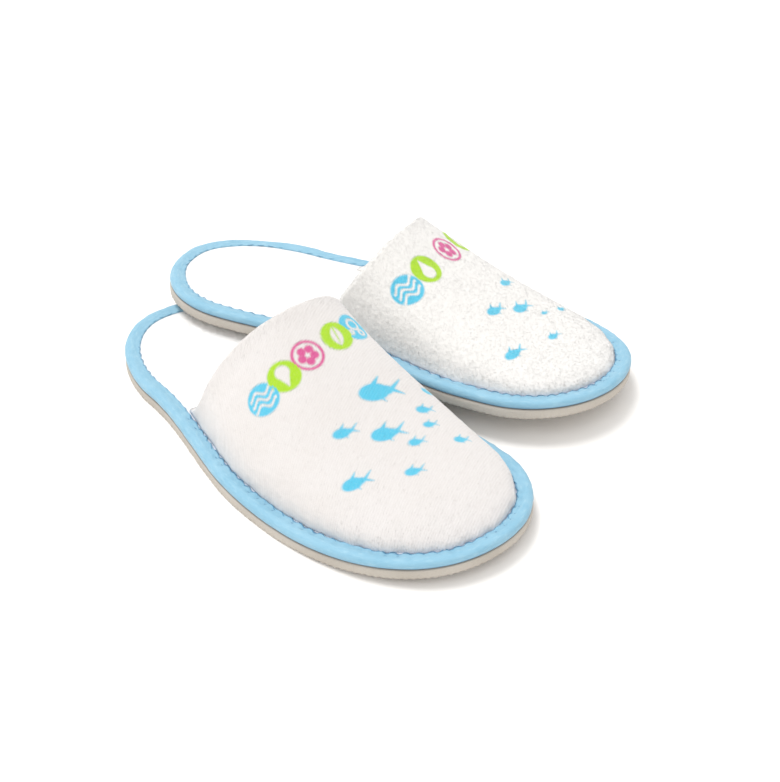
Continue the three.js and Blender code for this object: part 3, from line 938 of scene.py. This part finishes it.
def upper_rows(kind):
    """Rows of a section as (depth, back, along), from the toe over the mouth edge and inwards."""
    if kind == "terry":
        roll, inside, hem = MOUTH_ROLL, HEM_INSIDE, HEM_LENGTH
        corner = np.linspace(0, math.pi / 2, CORNER_ROWS)
        flat = np.linspace(roll, inside - roll, ROLL_ROWS)[1:-1]
        rows = [(0, roll, a) for a in to_toe(0, RIDGE_STEPS)[::-1]]
        rows += [(roll - roll * math.cos(t), roll - roll * math.sin(t), 0) for t in corner[1:]]
        rows += [(d, 0, 0) for d in flat]
        rows += [(inside - roll + roll * math.sin(t), roll - roll * math.cos(t), 0) for t in corner]
        rows += [(inside, b, 0) for b in np.linspace(3.2, hem - 0.4, 9)]
        rows += [(inside - 0.3, hem, 0), (HEM_DEPTH + 0.3, hem, 0), (HEM_DEPTH, hem - 0.4, 0)]
        rows += [(HEM_DEPTH, PLY_BACK, 0), (TERRY, PLY_BACK, 0)]
        return rows + [(TERRY, PLY_BACK, a) for a in to_toe(0.04, 40)]
    low, thick = (PADDING_DEPTH, PADDING) if kind == "padding" else (LINING_DEPTH, LINING)
    steps = to_toe(0, 70)
    return [(low, PLY_BACK, a) for a in steps[::-1]] + [(low + thick, PLY_BACK, a) for a in steps]


SETTLE_ROWS, SETTLE_COLUMNS, SETTLE_REACH = 40, 52, 0.95
SETTLE_FRAMES, SETTLE_CAP = 20, 1.5
SETTLE_FADE_FROM, SETTLE_FADE = 0.62, 0.3


def settled(shape):
    """How an upper's cloth moves when it is cut a little full and sewn down at the foot.

    A cloth simulation on a coarse copy of the outer face, pinned along the foot and the toe
    and free at the mouth. Returns the move in millimetres over a grid of along and across.
    """
    still = np.zeros((SETTLE_ROWS, SETTLE_COLUMNS, 3))
    steps = np.linspace(0, SETTLE_REACH, SETTLE_ROWS), np.linspace(0, 1, SETTLE_COLUMNS)
    along, across = (g.ravel() for g in np.meshgrid(*steps, indexing="ij"))
    back = np.full(len(along), MOUTH_ROLL)
    start = upper_points(shape, np.zeros(len(along)), back, along, across)
    mesh = bpy.data.meshes.new("settling")
    outwards = grid_faces(SETTLE_ROWS, SETTLE_COLUMNS)[:, ::-1]
    mesh.from_pydata((start * MM).tolist(), [], outwards.tolist())
    cloth = new_object("settling", mesh)
    sewn = cloth.vertex_groups.new(name="sewn")
    held = np.flatnonzero((across < 0.001) | (across > 0.999) | (along > SETTLE_REACH - 0.001))
    sewn.add(held.tolist(), 1.0, "REPLACE")
    settings = cloth.modifiers.new("cloth", "CLOTH").settings
    settings.quality, settings.mass = 6, 0.15
    settings.tension_stiffness = settings.compression_stiffness = 12
    settings.bending_stiffness = 0.4
    settings.vertex_group_mass = "sewn"
    settings.shrink_min = -0.035
    settings.use_pressure, settings.uniform_pressure_force = True, 0.5
    settings.effector_weights.gravity = 0.3
    scene = bpy.context.scene
    for number in range(1, SETTLE_FRAMES + 1):
        scene.frame_set(number)
    moved = cloth.evaluated_get(bpy.context.evaluated_depsgraph_get()).to_mesh()
    end = np.array([v.co for v in moved.vertices]) / MM
    scene.frame_set(1)
    bpy.data.objects.remove(cloth)
    move = end - start
    far = np.linalg.norm(move, axis=1)[:, None]
    move *= SETTLE_CAP * np.tanh(far / SETTLE_CAP) / np.maximum(far, 1e-9)
    move *= (1 - ease((along - SETTLE_FADE_FROM) / SETTLE_FADE))[:, None]
    move *= ease(np.minimum(across, 1 - across) / SETTLE_FADE)[:, None]
    return move.reshape(still.shape)


def move_at(move, along, across):
    """The settled move at any place on an upper, falling to nothing at the toe."""
    r = np.clip(along / SETTLE_REACH, 0, 1) * (SETTLE_ROWS - 1)
    c = across * (SETTLE_COLUMNS - 1)
    r0 = np.minimum(r.astype(int), SETTLE_ROWS - 2)
    c0 = np.minimum(c.astype(int), SETTLE_COLUMNS - 2)
    fr, fc = (r - r0)[:, None], (c - c0)[:, None]
    near = move[r0, c0] * (1 - fc) + move[r0, c0 + 1] * fc
    next_row = move[r0 + 1, c0] * (1 - fc) + move[r0 + 1, c0 + 1] * fc
    return near * (1 - fr) + next_row * fr


def swept(shape, rows, columns, move):
    """A shell whose closed section is swept across the foot.

    Returns its points, its quads, the sheet coordinates, and each point's along and depth.
    """
    across = np.linspace(0, 1, columns)
    flat = np.array(rows, float)
    depth, back, along = (np.repeat(flat[:, i], columns) for i in range(3))
    points = upper_points(shape, depth, back, along, np.tile(across, len(rows)))
    faces = grid_faces(len(rows), columns, close_rows=True)
    grid = points.reshape(len(rows), columns, 3)
    over = np.linalg.norm(np.diff(grid, axis=1), axis=2)
    over = np.concatenate([np.zeros((len(rows), 1)), np.cumsum(over, axis=1)], 1)
    over -= over[:, columns // 2][:, None]
    run = np.linalg.norm(np.diff(grid, axis=0), axis=2)
    run = np.concatenate([np.zeros((1, columns)), np.cumsum(run, axis=0)])
    weave = np.stack([over, run, np.zeros_like(run)], 2).reshape(-1, 3)
    points = points + move_at(move, along, np.tile(across, len(rows)))
    return points, faces, weave, along, depth


def with_ends(faces, rows, columns):
    """The quads of a swept shell with one face more at each foot end."""
    near = [r * columns for r in range(rows)]
    return faces.tolist() + [near, [i + columns - 1 for i in reversed(near)]]


def foot_height(points):
    return points[:, 2] - UPPER_BASE - spring_at(points[:, 0])


def upper_terry(side, shape, move, jobs, cloth, seed):
    """The outer terry with its loops: a soft rolled mouth and a foot puckered by the seam."""
    rows = upper_rows("terry")
    columns, pile = ARCH_STEPS + 1, cloth["pile"]
    points, faces, weave, along, depth = swept(shape, rows, columns, move)
    ink = printed(points, shape, jobs)
    ink[depth > 0.6, 3] = 0
    normals = normals_of(points, faces)
    outer = (depth < HEM_INSIDE - 0.01) & (np.arange(len(points)) < OUTSIDE_ROWS * columns)
    inner_face = ~outer & (depth < HEM_INSIDE - 1.2)
    foot = np.maximum(0, foot_height(points))
    near_foot = np.exp(-foot / 3.0)
    wave = lattice_noise(points, 46, seed) * 0.9 + lattice_noise(points, 19, seed + 1) * 0.35
    tuft = lattice_noise(points, 2.3, seed + 2) * 0.6 + lattice_noise(points, 1.15, seed + 3) * 0.5
    pucker = lattice_noise(points, (4.6, 4.6, 30), seed + 4) * 0.55 * np.exp(-foot / 5.5)
    lift = 0.15 + (wave * (1 - near_foot) + pucker + 0.45 * near_foot) + pile * tuft
    lift = np.where(inner_face, 0, lift)
    lift = np.where(~outer & ~inner_face, 0.3 * pile * tuft, lift)
    across = np.tile(np.linspace(0, 1, columns), len(rows))
    by_end = 1 - ease(np.minimum(across, 1 - across) / 0.04)
    off_hem_end = 1 - by_end * (1 - ease(along / 0.05))
    lift = lift * off_hem_end
    points = points + normals * lift[:, None]
    points[:, 2] = np.maximum(points[:, 2], UPPER_BASE + spring_at(points[:, 0]) - 0.05)
    rng = np.random.default_rng(seed)
    grid = points.reshape(len(rows), columns, 3)
    high, wide = (np.linalg.norm(np.gradient(grid, axis=i), axis=2) for i in (0, 1))
    fringe = np.exp(-foot / 4) + np.exp(-((along * 130) / 5) ** 2)
    standing = outer & (foot_height(points) > 0.6)
    chance = (high * wide).ravel() * standing * (cloth["spread"] + fringe) * off_hem_end
    spots = rng.choice(len(points), cloth["loops"], replace=False, p=chance / chance.sum())
    pile_loops(side, points, normals, spots, ink, cloth["loop_look"], 0.1 + 1.4 * pile, seed + 5)
    # Painted shade low on the outer face, deepest at the foot beside the tape.
    shade = np.clip(0.75 * np.exp(-foot / 0.7) + 0.18 * np.exp(-foot / 4), 0, 1) * (depth < 0.5)
    piece = build(
        f"{side}_upper_cloth", side, points, with_ends(faces, len(rows), columns),
        cloth["look"], "terry", "upper_terry", weave=weave, shade=shade, print=ink,
    )
    merge_close(piece)
    return piece


def pile_loops(side, points, normals, spots, ink, look, high, seed):
    """Single loops of terry pile standing on chosen points: short three-sided arches."""
    rng = np.random.default_rng(seed)
    count, steps = len(spots), 3
    base, up = points[spots], normals[spots]
    sideways = np.cross(up, rng.normal(size=(count, 3)))
    sideways /= np.linalg.norm(sideways, axis=1)[:, None]
    ahead = np.cross(sideways, up)
    rise = up + rng.normal(scale=0.25, size=(count, 1)) * sideways
    tall = high * rng.uniform(0.5, 1.15, (count, 1))
    span = rng.uniform(0.2, 0.38, (count, 1))
    half = rng.uniform(0.06, 0.11, (count, 1))
    corners = []
    for t in np.linspace(0, np.pi, steps):
        middle = base - ahead * span * math.cos(t) + rise * (tall * math.sin(t) - 0.12)
        under = middle + half * (ahead * math.cos(t) - up * math.sin(t))
        corners += [middle - sideways * half, middle + sideways * half, under]
    loops = np.stack(corners, 1).reshape(-1, 3)
    step, corner = np.repeat(np.arange(steps - 1) * 3, 3), np.tile(np.arange(3), steps - 1)
    following = (corner + 1) % 3
    sheet = np.stack([step + corner, step + 3 + corner, step + 3 + following, step + following], 1)
    ends = np.array([[0, 1, 2], [3 * steps - 1, 3 * steps - 2, 3 * steps - 3]])
    start = np.arange(count)[:, None, None] * 3 * steps
    faces = (start + sheet).reshape(-1, 4).tolist() + (start + ends).reshape(-1, 3).tolist()
    piece = build(
        f"{side}_upper_pile", side, loops, faces, look, "terry", None,
        shade=np.zeros(len(loops)), print=np.repeat(ink[spots], 3 * steps, axis=0),
    )
    facing = np.repeat(up @ PLACES[side][0].T, 3 * steps, axis=0)
    piece.data.normals_split_custom_set_from_vertices(facing.tolist())
    return piece


def upper_ply(side, shape, move, kind, material, node, columns, crease, seed):
    """The padding or the lining under the terry, creased on its inner face."""
    rows = upper_rows(kind)
    points, faces, weave, _, depth = swept(shape, rows, columns, move)
    normals = normals_of(points, faces)
    inside = depth > depth.min() + 0.01
    large, small = lattice_noise(points, (24, 12, 24), seed), lattice_noise(points, 6, seed + 1)
    lift = crease * (large + 0.5 * small)
    points = points + normals * (lift * inside)[:, None]
    piece = build(
        f"{side}_upper_{kind}_ply", side, points, with_ends(faces, len(rows), columns),
        material, "lining" if kind == "lining" else "foam", node, weave=weave,
    )
    merge_close(piece)
    return piece


# -------- both slippers --------


# Each upper's cloth: its two materials, how far its loops stand out, how many there are, and
# how much they spread from its edges over the rest of it.
RIGHT_CLOTH = dict(look=RIGHT_TERRY, loop_look=RIGHT_LOOPS_LIGHTENED, pile=0.13, loops=6000, spread=0.08)
LEFT_CLOTH = dict(look=LEFT_TERRY, loop_look=LEFT_LOOPS_LIGHTENED, pile=0.22, loops=14000, spread=1.0)


def slipper(side, shape, jobs, cloth, seed):
    """Every piece of one slipper, and the fibre board's material."""
    outsole(side)
    foam = cushion(side)
    bed = footbed(side, seed)
    edge_tape(side, seed + 10)
    stitches(side, seed + 10)
    move = settled(shape)
    terry = upper_terry(side, shape, move, jobs, cloth, seed + 20)
    padding = upper_ply(side, shape, move, "padding", FOAM, "upper_padding", 61, 0.0, seed + 30)
    lining = upper_ply(
        side, shape, move, "lining", LINING_CLOTH, "upper_lining", 121, 0.2, seed + 40
    )
    board = bpy.data.objects[f"{side}_insole_board"]
    for slot in board.material_slots:
        slot.material = BOARD


slipper("right", RIGHT_UPPER, print_jobs("right", RIGHT_SPOTS, RIGHT_FISH), RIGHT_CLOTH, 100)
slipper("left", LEFT_UPPER, print_jobs("left", LEFT_SPOTS, LEFT_FISH), LEFT_CLOTH, 200)


# -------- floor, light and camera --------


FLOOR_HALF = 60.0  # metres, so that its edge never shows
SKY_COLOUR, SKY_STRENGTH = (1.0, 0.99, 0.98, 1), 0.83
# Each softbox: the direction it shines from, its strength and its width in degrees.
SOFTBOXES = {
    "key_softbox": ((-0.1, 0.38, 1.0), 1.7, 26),
    "fill_softbox": ((-0.8, -0.6, 1.0), 0.55, 50),
}
CAMERA_AT, CAMERA_AIM = (-0.3801, -0.4843, 0.4321), (0.0005, -0.0113, 0)
CAMERA_LENS, CAMERA_SENSOR = 74.9, 36.0


def floor():
    mesh = bpy.data.meshes.new("floor")
    ways = ((-1, -1), (1, -1), (1, 1), (-1, 1))
    corners = [(x * FLOOR_HALF, y * FLOOR_HALF, cad_box[0][2]) for x, y in ways]
    mesh.from_pydata(corners, [], [(0, 1, 2, 3)])
    mesh.materials.append(floor_material())
    ground = new_object("floor", mesh)


def soft_sun(name, towards, strength, softness):
    """A broad, distant softbox in the direction towards, softness degrees across."""
    lamp = bpy.data.lights.new(name, "SUN")
    lamp.energy, lamp.angle = strength, math.radians(softness)
    holder = new_object(name, lamp)
    holder.rotation_euler = Vector(towards).to_track_quat("Z", "Y").to_euler()


def studio():
    world = bpy.data.worlds.new("studio")
    bpy.context.scene.world = world
    world.use_nodes = True
    sky = world.node_tree.nodes["Background"]
    sky.inputs["Color"].default_value = SKY_COLOUR
    sky.inputs["Strength"].default_value = SKY_STRENGTH
    for name, (towards, strength, softness) in SOFTBOXES.items():
        soft_sun(name, towards, strength, softness)
    view = bpy.context.scene.view_settings
    view.view_transform = "Standard"
    view.look = "None"


def camera():
    lens = bpy.data.cameras.new("camera")
    lens.lens, lens.sensor_width = CAMERA_LENS, CAMERA_SENSOR
    eye = new_object("camera", lens)
    eye.location = CAMERA_AT
    aim = Vector(CAMERA_AIM) - eye.location
    eye.rotation_euler = aim.to_track_quat("-Z", "Y").to_euler()
    bpy.context.scene.camera = eye


floor()
studio()
camera()
